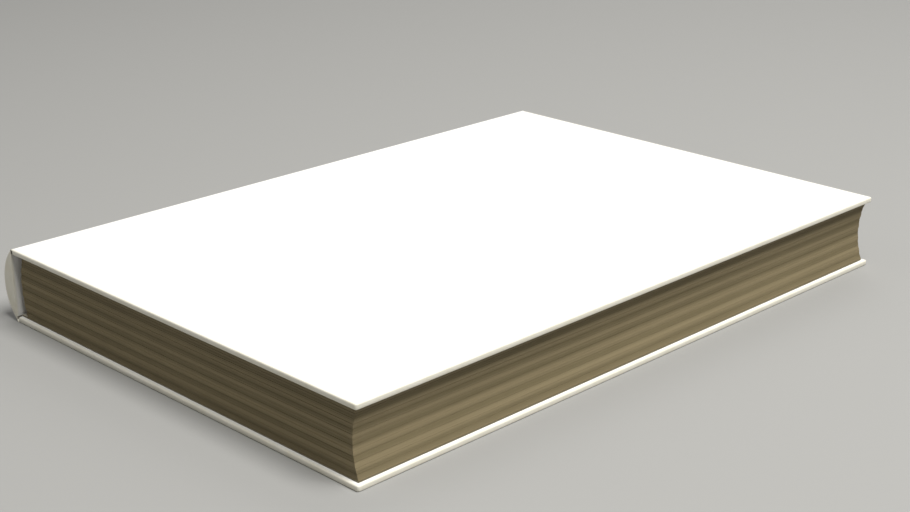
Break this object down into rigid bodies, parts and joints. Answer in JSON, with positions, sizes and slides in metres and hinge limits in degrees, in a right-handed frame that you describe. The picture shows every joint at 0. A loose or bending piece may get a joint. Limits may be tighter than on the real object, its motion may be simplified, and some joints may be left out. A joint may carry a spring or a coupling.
{
  "type": "hardcover book",
  "caption": "Plain white hardcover book lying on its back cover, with a rounded spine, a hollow fore-edge and covers that open flat.",
  "frame": {"origin": "on the back cover's outer face, in the middle of the book's height and of its whole width with the spine", "axes": "+X from the spine to the fore-edge, +Y from tail to head, +Z from the back cover to the front cover"},
  "size_m": [0.1764, 0.245, 0.0256],
  "materials": {
    "white_sheet": "smooth white covering sheet",
    "leaves": "cut edges of pressed tan book paper",
    "end_paper": "uncoated cream endpaper",
    "grey_board": "pressed grey binder's board",
    "gauze": "open starched cotton gauze",
    "lining_paper": "brown lining paper"
  },
  "bodies": {
    "text_block": {"page_block": "leaves", "front_flyleaf": "end_paper", "back_flyleaf": "end_paper", "spine_gauze": "gauze", "spine_lining": "lining_paper", "spine_strip": "grey_board", "spine_covering": "white_sheet"},
    "front_cover": {"front_board": "grey_board", "front_covering": "white_sheet", "front_pastedown": "end_paper"},
    "back_cover": {"back_board": "grey_board", "back_covering": "white_sheet", "back_pastedown": "end_paper"}
  },
  "joints": [
    {"name": "front_hinge", "type": "hinge", "parent": "text_block", "child": "front_cover", "pos_m": [-0.08132, 0, 0.02558], "axis": [0, -1, 0], "range_deg": [0, 178], "deforming": ["spine_gauze"]},
    {"name": "back_hinge", "type": "hinge", "parent": "text_block", "child": "back_cover", "pos_m": [-0.08132, 0, 0], "axis": [0, 1, 0], "range_deg": [0, 178], "deforming": ["spine_gauze"]}
  ]
}
